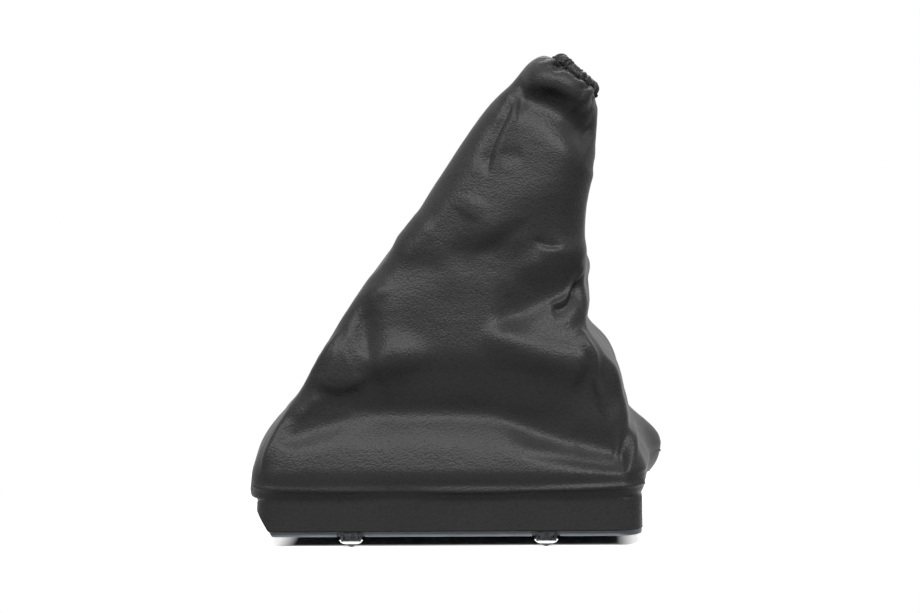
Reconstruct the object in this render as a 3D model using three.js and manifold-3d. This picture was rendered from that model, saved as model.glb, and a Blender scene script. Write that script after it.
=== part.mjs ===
// Handbrake boot: a gathered cover of imitation leather on a moulded frame with four spring clips.
// Millimetres, +Z up, +X the way the neck leans, -Y the near long side.
import * as THREE from 'three';
import { mergeVertices } from 'three/addons/utils/BufferGeometryUtils.js';
import Module from 'manifold-3d';

// Clearance between pieces that touch on the real boot
const fit = 0.3;

// Moulded frame
const frameLength = 148;
const frameWidth = 88;
const frameHeight = 17.3;
const frameWall = 2.4;
const frameCorner = 8;
const flangeReach = 6;
const flangeThickness = 2;
const lipReach = 1.2;
const lipHeight = 2;
const bevelRun = 6.4;
const bevelRise = 9.8;

// Tabs under the long walls, and the spring clips pushed on them
const tabDrop = 4.2;
const tabWidth = 5;
const tabThickness = 1.8;
const tabSpacing = 76;
const nubRadius = 2;
const clipTopWidth = 9.4;
const clipFootWidth = 6.6;
const clipGauge = 0.5;
const clipFoot = 1.5;
const clipTop = 5.9;
const clipNotch = 11;
const windowWidth = 2.6;
const windowHeight = 2.1;
const windowBar = 0.8;
const rimRadius = 0.38;

// Cover
const leather = 1;
const seamAllowance = 6;
const threadDiameter = 0.8;
const neckReach = 50;
const neckHeight = 182.4;
const neckTilt = 42;
const neckRadius = 9.3;
const elasticDiameter = 2.2;
const hemEase = 0.7;
const hemDepth = 5;
const gatherCount = 14;
const gatherDepth = 0.6;
const gatherFade = 9;

// Heights that follow from the sizes above
const deck = tabDrop + frameHeight;
const skirtFoot = tabDrop + lipHeight + fit;
const skirtMiddle = (skirtFoot + deck) / 2;
const skirtEnd = frameLength / 2 + fit + leather;
const skirtSide = frameWidth / 2 + fit + leather;
const skirtCorner = frameCorner;

const wasm = await Module();
wasm.setup();

// A closed three.js geometry as a solid that can be joined and cut
function toSolid(geometry) {
  const bare = geometry.clone();
  bare.deleteAttribute('normal');
  bare.deleteAttribute('uv');
  const merged = mergeVertices(bare, 1e-4);
  const vertProperties = new Float32Array(merged.attributes.position.array);
  const triVerts = new Uint32Array(merged.index.array);
  return new wasm.Manifold(new wasm.Mesh({ numProp: 3, vertProperties, triVerts }));
}

function toGeometry(solid) {
  const mesh = solid.getMesh();
  const geometry = new THREE.BufferGeometry();
  geometry.setAttribute('position', new THREE.BufferAttribute(mesh.vertProperties, 3));
  geometry.setIndex(new THREE.BufferAttribute(mesh.triVerts, 1));
  geometry.computeVertexNormals();
  return geometry;
}

// A geometry from points and triangles, turned inside out if its faces point inwards
function closedGeometry(points, triangles) {
  let volume = 0;
  for (const [a, b, c] of triangles) {
    volume += points[a].dot(points[b].clone().cross(points[c]));
  }
  const faces = volume < 0 ? triangles.map(([a, b, c]) => [a, c, b]) : triangles;
  const geometry = new THREE.BufferGeometry().setFromPoints(points);
  geometry.setIndex(faces.flat());
  geometry.computeVertexNormals();
  return geometry;
}

// A flat shape drawn in X and Z, given a thickness along Y that starts at yStart
function plate(shape, yStart, thickness) {
  const geometry = new THREE.ExtrudeGeometry(shape, { depth: thickness, bevelEnabled: false, curveSegments: 6 });
  geometry.rotateX(Math.PI / 2);
  geometry.translate(0, yStart + thickness, 0);
  return geometry;
}

function polygon(points) {
  return new THREE.Shape(points.map(([x, y]) => new THREE.Vector2(x, y)));
}

function block(width, depth, height, x, y, z) {
  return new THREE.BoxGeometry(width, depth, height).translate(x, y, z);
}

// Moulded frame

function roundedRectangle(length, width, corner, Kind = THREE.Shape) {
  const shape = new Kind();
  const x = length / 2 - corner;
  const y = width / 2 - corner;
  shape.absarc(x, y, corner, 0, Math.PI / 2);
  shape.absarc(-x, y, corner, Math.PI / 2, Math.PI);
  shape.absarc(-x, -y, corner, Math.PI, Math.PI * 1.5);
  shape.absarc(x, -y, corner, Math.PI * 1.5, Math.PI * 2);
  shape.closePath();
  return shape;
}

// A flat ring between two outlines, given by how far each lies inside the frame's outer wall
function ringSolid(outerInset, innerInset, bottom, height) {
  const outlineAt = (inset, Kind) => roundedRectangle(
    frameLength - 2 * inset,
    frameWidth - 2 * inset,
    Math.max(frameCorner - inset, frameWall / 4),
    Kind,
  );
  const shape = outlineAt(outerInset, THREE.Shape);
  shape.holes.push(outlineAt(innerInset, THREE.Path));
  const geometry = new THREE.ExtrudeGeometry(shape, { depth: height, bevelEnabled: false, curveSegments: 6 });
  return toSolid(geometry.translate(0, 0, bottom));
}

// The wedge that is missing from the lower corner of the -X end
function endBevel() {
  const slack = 5;
  const slope = bevelRun / bevelRise;
  const start = [-skirtEnd + bevelRun + slope * slack, tabDrop - slack];
  const end = [-skirtEnd - slope * slack, tabDrop + bevelRise + slack];
  const wedge = polygon([start, end, [end[0] - slack, end[1]], [end[0] - slack, start[1]]]);
  return toSolid(plate(wedge, -frameWidth, 2 * frameWidth));
}

function tabSolid(x, side) {
  const half = tabWidth / 2;
  const shape = new THREE.Shape();
  shape.moveTo(x + half, tabDrop + lipHeight);
  shape.lineTo(x - half, tabDrop + lipHeight);
  shape.lineTo(x - half, clipFoot + clipGauge + fit);
  shape.lineTo(x - nubRadius, clipFoot + clipGauge + fit);
  shape.lineTo(x - nubRadius, nubRadius);
  shape.absarc(x, nubRadius, nubRadius, Math.PI, Math.PI * 2);
  shape.lineTo(x + nubRadius, clipFoot + clipGauge + fit);
  shape.lineTo(x + half, clipFoot + clipGauge + fit);
  const middle = side * (frameWidth / 2 - frameWall / 2);
  return toSolid(plate(shape, middle - tabThickness / 2, tabThickness));
}

function frameGeometry() {
  let frame = ringSolid(0, frameWall, tabDrop, frameHeight);
  const flange = ringSolid(frameWall / 2, frameWall + flangeReach, deck - flangeThickness, flangeThickness);
  let lip = ringSolid(-lipReach, frameWall / 2, tabDrop, lipHeight);
  for (const side of [-1, 1]) {
    for (const x of [-tabSpacing / 2, tabSpacing / 2]) {
      const notchDepth = 2 * lipReach;
      const notchY = side * (frameWidth / 2 + notchDepth / 2);
      const notch = block(clipNotch, notchDepth, 4 * lipHeight, x, notchY, tabDrop);
      lip = lip.subtract(toSolid(notch));
    }
  }
  frame = frame.add(flange).add(lip).subtract(endBevel());
  for (const side of [-1, 1]) {
    for (const x of [-tabSpacing / 2, tabSpacing / 2]) {
      frame = frame.add(tabSolid(x, side));
    }
  }
  return toGeometry(frame);
}

// Spring clip: a channel round the tab, with two windows, a rolled rim and a slot for the nub

function clipGeometry() {
  const wallOuter = frameWidth / 2;
  const outerLeg = wallOuter + fit;
  const innerLeg = wallOuter - frameWall - fit - clipGauge;
  const span = outerLeg + clipGauge - innerLeg;
  const legShape = polygon([
    [-clipFootWidth / 2, clipFoot],
    [clipFootWidth / 2, clipFoot],
    [clipTopWidth / 2, clipTop],
    [-clipTopWidth / 2, clipTop],
  ]);
  const legAt = (y) => toSolid(plate(legShape, y, clipGauge));
  const web = block(clipFootWidth, span, clipGauge, 0, innerLeg + span / 2, clipFoot + clipGauge / 2);
  let clip = legAt(outerLeg).add(legAt(innerLeg)).add(toSolid(web));

  const slotLength = 2 * (nubRadius + fit);
  const slotDepth = tabThickness + 2 * fit;
  const slotY = wallOuter - frameWall / 2;
  clip = clip.subtract(toSolid(block(slotLength, slotDepth, 4 * clipGauge, 0, slotY, clipFoot)));

  const windowZ = (clipFoot + clipTop) / 2 + clipGauge;
  for (const x of [-1, 1]) {
    const windowX = x * (windowBar + windowWidth) / 2;
    const hole = block(windowWidth, 4 * clipGauge, windowHeight, windowX, outerLeg + clipGauge / 2, windowZ);
    clip = clip.subtract(toSolid(hole));
  }
  return toGeometry(clip.add(clipRim(outerLeg + clipGauge)));
}

// The rolled rim along the foot of the outer leg, with its ends turned up
function clipRim(y) {
  const half = clipFootWidth / 2;
  const path = new THREE.CatmullRomCurve3([
    new THREE.Vector3(-half - 3 * rimRadius, y, clipFoot + 4 * rimRadius),
    new THREE.Vector3(-half, y, clipFoot + rimRadius),
    new THREE.Vector3(0, y, clipFoot + rimRadius / 2),
    new THREE.Vector3(half, y, clipFoot + rimRadius),
    new THREE.Vector3(half + 3 * rimRadius, y, clipFoot + 4 * rimRadius),
  ]);
  return toSolid(rod(path, rimRadius, 5, 8));
}

function rod(path, radius, sides, steps) {
  const section = new THREE.Shape();
  for (let k = 0; k <= sides; k += 1) {
    const angle = (2 * Math.PI * k) / sides;
    const place = [radius * Math.cos(angle), radius * Math.sin(angle)];
    if (k === 0) section.moveTo(...place);
    else if (k < sides) section.lineTo(...place);
  }
  section.closePath();
  return new THREE.ExtrudeGeometry(section, { steps, extrudePath: path, bevelEnabled: false });
}

// Cover: its rings from the skirt's foot to the turned-in hem.
// left and right are the ends of the ring's middle line as [x, z]; near and far are its half widths.
// corner is the corner radius, bow how far each end (left, right) and each side bulges past its corners.

const cosTilt = Math.cos((neckTilt * Math.PI) / 180);
const sinTilt = Math.sin((neckTilt * Math.PI) / 180);

function ring(left, right, near, far, corner, bowLeft = 0, bowRight = 0, bowSide = 0) {
  return { left, right, near, far, corner, bowLeft, bowRight, bowSide, loose: 1 };
}

// A point of the middle plane as [x, z]. up is a share of the way from the deck to the neck. along is a share
// of the frame's length, from the line that leans from the frame's middle to the neck's.
function station([along, up]) {
  return [along * frameLength + up * neckReach, deck + up * (neckHeight - deck)];
}

// A ring between the skirt and the neck: its ends are stations, its other sizes shares of frameWidth
function bodyRing(left, right, ...sizes) {
  return ring(station(left), station(right), ...sizes.map((share) => share * frameWidth));
}

// A round ring about the neck's axis, at a radius and a height along that axis
function neckRing(radius, height) {
  const left = [neckReach - radius * cosTilt + height * sinTilt, neckHeight + radius * sinTilt + height * cosTilt];
  const right = [neckReach + radius * cosTilt + height * sinTilt, neckHeight - radius * sinTilt + height * cosTilt];
  return { ...ring(left, right, radius, radius, radius), loose: 0 };
}

const hemRoll = elasticDiameter / 2 + hemEase + leather;
const hemSlope = hemRoll * Math.SQRT1_2;

const rings = [
  ring([-skirtEnd, skirtFoot], [skirtEnd, skirtFoot], skirtSide, skirtSide, skirtCorner),
  ring([-skirtEnd, skirtMiddle], [skirtEnd, skirtMiddle], skirtSide, skirtSide, skirtCorner),
  ring([-skirtEnd, deck - leather], [skirtEnd, deck - leather], skirtSide, skirtSide, skirtCorner),
  bodyRing([-0.527, 0.007], [0.519, 0.006], 0.535, 0.537, 0.114, 0.011, 0.011),
  bodyRing([-0.545, 0.028], [0.521, 0.025], 0.55, 0.557, 0.125, 0.034, 0.023),
  bodyRing([-0.553, 0.062], [0.514, 0.056], 0.556, 0.562, 0.125, 0.045, 0.034),
  bodyRing([-0.547, 0.103], [0.486, 0.096], 0.54, 0.545, 0.114, 0.045, 0.034),
  bodyRing([-0.531, 0.152], [0.438, 0.143], 0.495, 0.511, 0.091, 0.045, 0.017),
  bodyRing([-0.507, 0.19], [0.411, 0.183], 0.452, 0.468, 0.08, 0.04, 0.011),
  bodyRing([-0.482, 0.227], [0.386, 0.227], 0.425, 0.439, 0.08, 0.034, 0.011, 0.011),
  bodyRing([-0.463, 0.28], [0.353, 0.277], 0.419, 0.43, 0.08, 0.023, 0.011, 0.017),
  bodyRing([-0.443, 0.333], [0.312, 0.329], 0.418, 0.423, 0.08, 0.017, 0.011, 0.023),
  bodyRing([-0.419, 0.401], [0.251, 0.385], 0.405, 0.407, 0.091, 0.011, 0.011, 0.034),
  bodyRing([-0.39, 0.475], [0.228, 0.444], 0.378, 0.38, 0.102, 0.011, 0.011, 0.04),
  bodyRing([-0.352, 0.562], [0.193, 0.525], 0.345, 0.345, 0.114, 0.011, 0.011, 0.045),
  bodyRing([-0.311, 0.656], [0.156, 0.618], 0.311, 0.311, 0.125, 0.011, 0.011, 0.045),
  bodyRing([-0.272, 0.752], [0.133, 0.712], 0.278, 0.28, 0.136, 0.011, 0.011, 0.04),
  bodyRing([-0.233, 0.848], [0.122, 0.799], 0.245, 0.245, 0.148, 0.011, 0.011, 0.028),
  bodyRing([-0.194, 0.926], [0.106, 0.873], 0.216, 0.216, 0.159, 0.011, 0.011, 0.017),
  bodyRing([-0.155, 0.978], [0.098, 0.909], 0.197, 0.197, 0.159, 0, 0, 0.006),
  bodyRing([-0.134, 1.025], [0.091, 0.927], 0.177, 0.177, 0.156),
  bodyRing([-0.106, 1.049], [0.082, 0.941], 0.155, 0.155, 0.148),
  neckRing(neckRadius + hemRoll - leather * 0.7, -hemRoll),
  neckRing(neckRadius + hemRoll, 0),
  neckRing(neckRadius + hemSlope, hemSlope),
  neckRing(neckRadius, hemRoll),
  neckRing(neckRadius - hemSlope, hemSlope),
  neckRing(neckRadius - hemRoll, 0),
  neckRing(neckRadius - leather * 0.8, -hemRoll - fit),
  neckRing(neckRadius + leather * 0.3, -hemDepth),
];
const lastRing = rings.length - 1;

// A fold along a line of stations. rise is how far a ridge stands out, or with a minus how deep a groove is,
// and width is how far from its line it fades, both as shares of frameWidth.
function fold(stations, width, rise) {
  return { path: stations.map(station), width: width * frameWidth, rise: rise * frameWidth };
}

// A puff round a station, at a share of frameWidth off the middle plane
function puff(middle, across, width, rise) {
  const [x, z] = station(middle);
  const centre = new THREE.Vector3(x, across * frameWidth, z);
  return { centre, width: width * frameWidth, rise: rise * frameWidth };
}

// Folds of the near and of the far side
const nearFolds = [
  fold([
    [-0.372, 0.221], [-0.296, 0.196], [-0.118, 0.208],
    [0.064, 0.19], [0.253, 0.152], [0.349, 0.127],
  ], 0.091, -0.0568),
  fold([[-0.372, 0.301], [-0.225, 0.345], [-0.128, 0.339]], 0.102, 0.0295),
  fold([[0.022, 0.376], [0.158, 0.333], [0.272, 0.295]], 0.091, 0.0295),
  fold([[0.192, 0.513], [0.138, 0.451], [0.083, 0.413], [0.008, 0.376]], 0.057, 0.0273),
  fold([[0.168, 0.544], [0.095, 0.519], [0.04, 0.482], [0.001, 0.438], [-0.077, 0.388]], 0.062, -0.0273),
  fold([[0.008, 0.538], [0.069, 0.575], [0.166, 0.587]], 0.051, 0.017),
  fold([
    [0.111, 0.811], [0.067, 0.761], [0.028, 0.718],
    [-0.03, 0.649], [-0.088, 0.6], [-0.161, 0.556],
  ], 0.08, -0.0295),
  fold([[0.055, 0.836], [-0.036, 0.768], [-0.07, 0.687], [-0.132, 0.631], [-0.196, 0.581]], 0.08, 0.0227),
  fold([[-0.344, 0.519], [-0.263, 0.538], [-0.193, 0.55]], 0.057, -0.0182),
  fold([[-0.377, 0.475], [-0.286, 0.488], [-0.212, 0.507]], 0.057, 0.0136),
  fold([[-0.15, 0.525], [-0.002, 0.525]], 0.068, 0.0136),
  fold([[-0.364, 0.457], [-0.331, 0.401], [-0.331, 0.339]], 0.051, -0.0182),
  fold([[-0.136, 0.942], [-0.05, 0.948], [0.044, 0.911], [0.114, 0.842]], 0.057, -0.0273),
  fold([[-0.094, 0.898], [0, 0.861], [0.08, 0.842]], 0.091, 0.0159),
  fold([[-0.143, 0.923], [-0.151, 0.848], [-0.149, 0.761]], 0.051, -0.017),
  fold([
    [0.234, 0.407], [0.231, 0.376], [0.255, 0.345],
    [0.286, 0.314], [0.301, 0.27], [0.348, 0.19],
  ], 0.045, 0.0205),
];
const farFolds = [
  fold([[-0.339, 0.202], [-0.226, 0.19], [0.013, 0.202], [0.24, 0.171], [0.329, 0.146]], 0.091, -0.0511),
  fold([[-0.353, 0.326], [-0.177, 0.364], [-0.006, 0.339]], 0.102, 0.0273),
  fold([[0.056, 0.314], [0.209, 0.301]], 0.091, 0.0227),
  fold([[0.195, 0.463], [0.082, 0.438], [-0.066, 0.475], [-0.213, 0.55]], 0.068, -0.0273),
  fold([[0.192, 0.513], [0.076, 0.494], [-0.06, 0.538], [-0.191, 0.606]], 0.068, 0.025),
  fold([[-0.337, 0.438], [-0.233, 0.451], [-0.13, 0.426]], 0.057, 0.0159),
  fold([[0.123, 0.736], [0.036, 0.693], [-0.074, 0.699], [-0.185, 0.749]], 0.068, -0.025),
  fold([[0.106, 0.786], [0, 0.761], [-0.119, 0.792]], 0.068, 0.0205),
  fold([[-0.127, 0.935], [-0.032, 0.935], [0.092, 0.867]], 0.057, -0.025),
];

// Puffs that lie across a corner or an end
const puffs = [
  puff([0.502, 0.053], 0.364, 0.193, 0.0739),
  puff([0.299, 0.314], 0.295, 0.125, 0.017),
  puff([-0.506, 0.177], 0.341, 0.136, 0.0159),
  puff([-0.508, 0.264], -0.068, 0.148, -0.0091),
];

// A smooth value through the four nearest rings
function through(a, b, c, d, t) {
  const bend = (2 * a - 5 * b + 4 * c - d) * t * t;
  const twist = (3 * b - a - 3 * c + d) * t * t * t;
  return 0.5 * (2 * b + (c - a) * t + bend + twist);
}

// The ring at a place between two rings
function ringAt(v) {
  const k = Math.min(Math.floor(v), lastRing - 1);
  const near4 = [k - 1, k, k + 1, k + 2].map((n) => rings[Math.min(Math.max(n, 0), lastRing)]);
  const mix = (read) => through(...near4.map(read), v - k);
  return {
    left: [mix((r) => r.left[0]), mix((r) => r.left[1])],
    right: [mix((r) => r.right[0]), mix((r) => r.right[1])],
    near: mix((r) => r.near),
    far: mix((r) => r.far),
    corner: mix((r) => r.corner),
    bowLeft: mix((r) => r.bowLeft),
    bowRight: mix((r) => r.bowRight),
    bowSide: mix((r) => r.bowSide),
    loose: near4[1].loose + (near4[2].loose - near4[1].loose) * (v - k),
  };
}

// Where a ray at an angle leaves a quarter of a rounded rectangle of half sizes a and b
function cornerRay(a, b, radius, angle) {
  const x = a * Math.abs(Math.cos(angle));
  const y = b * Math.sin(angle);
  const r = Math.min(radius, a, b);
  if (y * a <= (b - r) * x) return [a, (y * a) / x];
  if (x * b <= (a - r) * y) return [(x * b) / y, b];
  const dot = x * (a - r) + y * (b - r);
  const square = x * x + y * y;
  const rest = (a - r) ** 2 + (b - r) ** 2 - r * r;
  const t = (dot + Math.sqrt(Math.max(dot * dot - square * rest, 0))) / square;
  return [x * t, y * t];
}

// A point of the smooth cover. side is -1 near and 1 far, angle runs from the left seam (pi) to the right (0).
function plainSkin(side, angle, v) {
  const r = ringAt(v);
  const width = side < 0 ? r.near : r.far;
  const axis = new THREE.Vector2(r.right[0] - r.left[0], r.right[1] - r.left[1]);
  const length = axis.length() / 2;
  axis.normalize();
  const isLeft = angle > Math.PI / 2;
  const bowEnd = isLeft ? r.bowLeft : r.bowRight;
  const [along, across] = cornerRay(length, width, r.corner, angle);
  const alongShare = along / length;
  const acrossShare = across / width;
  const reach = along - bowEnd * alongShare * acrossShare ** 2;
  const spread = across - r.bowSide * acrossShare * alongShare ** 2;
  const signedReach = isLeft ? -reach : reach;
  const middle = [(r.left[0] + r.right[0]) / 2, (r.left[1] + r.right[1]) / 2];
  const point = new THREE.Vector3(
    middle[0] + axis.x * signedReach,
    side * spread,
    middle[1] + axis.y * signedReach,
  );
  return point.add(gather(point));
}

// The ripples that the elastic draws into the neck, straight out from the neck's axis
function gather(point) {
  const x = point.x - neckReach;
  const z = point.z - neckHeight;
  const height = x * sinTilt + z * cosTilt;
  const out = x * cosTilt - z * sinTilt;
  const angle = Math.atan2(point.y, out);
  const fade = Math.exp(-((Math.max(-height, 0) / gatherFade) ** 2));
  const ripple = gatherDepth * fade * Math.cos(gatherCount * angle);
  const push = Math.cos(angle) * ripple;
  return new THREE.Vector3(push * cosTilt, Math.sin(angle) * ripple, -push * sinTilt);
}

function distanceToPath(x, z, path) {
  let best = Infinity;
  for (let k = 0; k < path.length - 1; k += 1) {
    const [ax, az] = path[k];
    const [bx, bz] = path[k + 1];
    const share = ((x - ax) * (bx - ax) + (z - az) * (bz - az)) / ((bx - ax) ** 2 + (bz - az) ** 2);
    const t = Math.min(Math.max(share, 0), 1);
    best = Math.min(best, Math.hypot(x - ax - (bx - ax) * t, z - az - (bz - az) * t));
  }
  return best;
}

// How far the folds and puffs lift the cover at a point. A side's folds fade out towards the seams.
function relief(side, point, width) {
  const share = Math.min(Math.abs(point.y) / (0.8 * width), 1);
  const fade = share * share * (3 - 2 * share);
  let lift = 0;
  for (const { path, width: spread, rise } of side < 0 ? nearFolds : farFolds) {
    lift += fade * rise * Math.exp(-((distanceToPath(point.x, point.z, path) / spread) ** 2));
  }
  for (const { centre, width: spread, rise } of puffs) {
    lift += rise * Math.exp(-((point.distanceTo(centre) / spread) ** 2));
  }
  return lift;
}

// The outward direction of a surface given by a function of angle and ring
function outward(surface, side, angle, v) {
  const step = 0.004;
  const low = Math.max(v - step, 0);
  const high = Math.min(v + step, lastRing);
  const left = Math.min(angle + step, Math.PI);
  const right = Math.max(angle - step, 0);
  const up = surface(side, angle, high).sub(surface(side, angle, low));
  const along = surface(side, right, v).sub(surface(side, left, v));
  const normal = side < 0 ? along.cross(up) : up.cross(along);
  if (angle === 0 || angle === Math.PI) normal.y = 0;
  return normal.normalize();
}

function skin(side, angle, v) {
  const point = plainSkin(side, angle, v);
  const r = ringAt(v);
  const lift = r.loose * relief(side, point, side < 0 ? r.near : r.far);
  return point.addScaledVector(outward(plainSkin, side, angle, v), lift);
}

// Columns of the cover's mesh, closer together towards the corners

const endColumns = 5;
const sideColumns = 18;

function columnAngles() {
  const spread = (t) => 0.6 * t + 0.4 * Math.sin((Math.PI / 2) * t);
  const angles = [];
  for (let k = 0; k < endColumns; k += 1) angles.push(Math.PI - Math.atan(spread(k / endColumns)));
  for (let k = 0; k < sideColumns; k += 1) angles.push(Math.PI / 2 - Math.atan(spread((2 * k) / sideColumns - 1)));
  for (let k = 0; k <= endColumns; k += 1) angles.push(Math.atan(spread(1 - k / endColumns)));
  return angles;
}

// Rows of the cover's mesh: one at each ring, and one more where the rings lie far apart
function rowPlaces() {
  const wideGap = (neckHeight - deck) / 9.5;
  const rows = [];
  for (let k = 0; k < lastRing; k += 1) {
    rows.push(k);
    const rise = Math.hypot(rings[k + 1].left[0] - rings[k].left[0], rings[k + 1].left[1] - rings[k].left[1]);
    if (rise > wideGap) rows.push(k + 0.5);
  }
  rows.push(lastRing);
  return rows;
}

// One half of the cover as a closed shell, with its seam edges in the middle plane
function halfShell(side) {
  const angles = columnAngles();
  const rows = rowPlaces();
  const seamPlane = (side * fit) / 2;
  const points = [];
  for (const depth of [0, leather]) {
    for (const v of rows) {
      for (const angle of angles) {
        const point = skin(side, angle, v).addScaledVector(outward(skin, side, angle, v), -depth);
        const isSeam = angle === Math.PI || angle === 0;
        if (isSeam || point.y * side < fit / 2) point.y = seamPlane;
        points.push(point);
      }
    }
  }
  const wide = angles.length;
  const tall = rows.length;
  const at = (layer, row, column) => (layer * tall + row) * wide + column;
  const triangles = [];
  const quad = (a, b, c, d) => triangles.push([a, b, c], [a, c, d]);
  for (let i = 0; i < tall - 1; i += 1) {
    for (let j = 0; j < wide - 1; j += 1) {
      quad(at(0, i, j), at(0, i, j + 1), at(0, i + 1, j + 1), at(0, i + 1, j));
      quad(at(1, i, j), at(1, i + 1, j), at(1, i + 1, j + 1), at(1, i, j + 1));
    }
    quad(at(0, i, 0), at(0, i + 1, 0), at(1, i + 1, 0), at(1, i, 0));
    quad(at(0, i, wide - 1), at(1, i, wide - 1), at(1, i + 1, wide - 1), at(0, i + 1, wide - 1));
  }
  for (let j = 0; j < wide - 1; j += 1) {
    quad(at(0, 0, j), at(1, 0, j), at(1, 0, j + 1), at(0, 0, j + 1));
    quad(at(0, tall - 1, j), at(0, tall - 1, j + 1), at(1, tall - 1, j + 1), at(1, tall - 1, j));
  }
  return toSolid(closedGeometry(points, triangles));
}

// The seam's line in the middle plane, a given depth under the cover, from above the frame to below the neck
const seamFirst = 5;
const seamLast = 19;

function seamLine(angle, depth) {
  const line = [];
  for (let v = seamFirst; v <= seamLast; v += 1) {
    const point = skin(-1, angle, v).addScaledVector(outward(skin, -1, angle, v), -depth);
    line.push([point.x, point.z]);
  }
  return line;
}

// The turned-in strip that one half has along a seam
function allowance(side, angle) {
  const outer = seamLine(angle, leather / 2);
  const inner = seamLine(angle, leather + seamAllowance);
  const yStart = side < 0 ? -fit / 2 - leather : fit / 2;
  return toSolid(plate(polygon([...outer, ...inner.reverse()]), yStart, leather));
}

function halfGeometry(side) {
  const cover = halfShell(side).add(allowance(side, Math.PI)).add(allowance(side, 0));
  return toGeometry(cover.subtract(endBevel()));
}

function threadGeometry(angle) {
  const y = -fit / 2 - leather - fit - threadDiameter / 2;
  const line = seamLine(angle, leather + seamAllowance / 2).map(([x, z]) => new THREE.Vector3(x, y, z));
  return rod(new THREE.CatmullRomCurve3(line), threadDiameter / 2, 5, seamLast - seamFirst);
}

// The elastic lies in the hem's roll and follows its ripples
function elasticGeometry() {
  const steps = 3 * gatherCount;
  const sides = 6;
  const points = [];
  for (let i = 0; i < steps; i += 1) {
    const turn = (2 * Math.PI * i) / steps;
    for (let j = 0; j < sides; j += 1) {
      const around = (2 * Math.PI * j) / sides;
      const out = neckRadius + (elasticDiameter / 2) * Math.cos(around);
      const height = (elasticDiameter / 2) * Math.sin(around);
      const flat = out * Math.cos(turn);
      const point = new THREE.Vector3(
        neckReach + flat * cosTilt + height * sinTilt,
        out * Math.sin(turn),
        neckHeight - flat * sinTilt + height * cosTilt,
      );
      points.push(point.add(gather(point)));
    }
  }
  const triangles = [];
  for (let i = 0; i < steps; i += 1) {
    for (let j = 0; j < sides; j += 1) {
      const next = ((i + 1) % steps) * sides;
      const a = i * sides + j;
      const b = i * sides + ((j + 1) % sides);
      triangles.push([a, b, next + ((j + 1) % sides)], [a, next + ((j + 1) % sides), next + j]);
    }
  }
  return closedGeometry(points, triangles);
}

// Materials, one for each piece

function leatherMaterial() {
  return new THREE.MeshStandardMaterial({ color: 0x2b2b2b, roughness: 0.62, metalness: 0 });
}

function threadMaterial() {
  return new THREE.MeshStandardMaterial({ color: 0x1c1c1c, roughness: 0.8, metalness: 0 });
}

function elasticMaterial() {
  return new THREE.MeshStandardMaterial({ color: 0x161616, roughness: 0.85, metalness: 0 });
}

function plasticMaterial() {
  return new THREE.MeshStandardMaterial({ color: 0x5d666e, roughness: 0.5, metalness: 0 });
}

function steelMaterial() {
  return new THREE.MeshStandardMaterial({ color: 0x26282b, roughness: 0.35, metalness: 0.8 });
}

const boot = new THREE.Group();

function addPiece(name, geometry, material, position = [0, 0, 0], turn = 0) {
  const mesh = new THREE.Mesh(geometry, material);
  mesh.name = name;
  mesh.position.set(...position);
  mesh.rotation.z = turn;
  boot.add(mesh);
}

addPiece('boot_half_right', halfGeometry(-1), leatherMaterial());
addPiece('boot_half_left', halfGeometry(1), leatherMaterial());
addPiece('seam_thread_front', threadGeometry(Math.PI), threadMaterial());
addPiece('seam_thread_rear', threadGeometry(0), threadMaterial());
addPiece('neck_elastic', elasticGeometry(), elasticMaterial());
addPiece('frame', frameGeometry(), plasticMaterial());
for (const [end, x] of [['front', -tabSpacing / 2], ['rear', tabSpacing / 2]]) {
  for (const [flank, turn] of [['right', Math.PI], ['left', 0]]) {
    addPiece(`clip_${end}_${flank}`, clipGeometry(), steelMaterial(), [x, 0, 0], turn);
  }
}

// The origin goes to the middle of the whole boot's footprint, on the floor
boot.updateMatrixWorld(true);
const box = new THREE.Box3().setFromObject(boot, true);
boot.position.set(-(box.min.x + box.max.x) / 2, -(box.min.y + box.max.y) / 2, -box.min.z);
boot.updateMatrixWorld(true);

export default boot;
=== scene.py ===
import math

import bpy
import numpy as np
from mathutils import Matrix, Vector


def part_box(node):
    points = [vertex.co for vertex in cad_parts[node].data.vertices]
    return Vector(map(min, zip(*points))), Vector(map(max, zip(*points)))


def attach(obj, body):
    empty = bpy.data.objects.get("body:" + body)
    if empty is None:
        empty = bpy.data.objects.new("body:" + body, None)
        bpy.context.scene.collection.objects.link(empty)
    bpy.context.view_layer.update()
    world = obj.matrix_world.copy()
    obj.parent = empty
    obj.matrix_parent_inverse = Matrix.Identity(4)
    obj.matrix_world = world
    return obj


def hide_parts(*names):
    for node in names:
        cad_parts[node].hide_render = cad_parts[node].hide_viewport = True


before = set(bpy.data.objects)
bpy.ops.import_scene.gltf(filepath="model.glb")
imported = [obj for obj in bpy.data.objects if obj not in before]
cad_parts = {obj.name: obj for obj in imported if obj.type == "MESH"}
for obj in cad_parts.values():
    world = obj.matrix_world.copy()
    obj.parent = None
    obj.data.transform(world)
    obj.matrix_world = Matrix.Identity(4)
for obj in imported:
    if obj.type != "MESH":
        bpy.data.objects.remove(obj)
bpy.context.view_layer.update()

# Handbrake boot. The surfaces are worked out in millimetres in the frame's own axes, as in the CAD source:
# x = 0, y = 0 in the frame's middle, z = 0 at the clips' tips, the near long side at -Y.

MM = 0.001
NEAR, FAR = -1, 1
HALVES = {NEAR: "boot_half_right", FAR: "boot_half_left"}
CLIPS = ["clip_front_right", "clip_rear_right", "clip_front_left", "clip_rear_left"]

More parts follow.
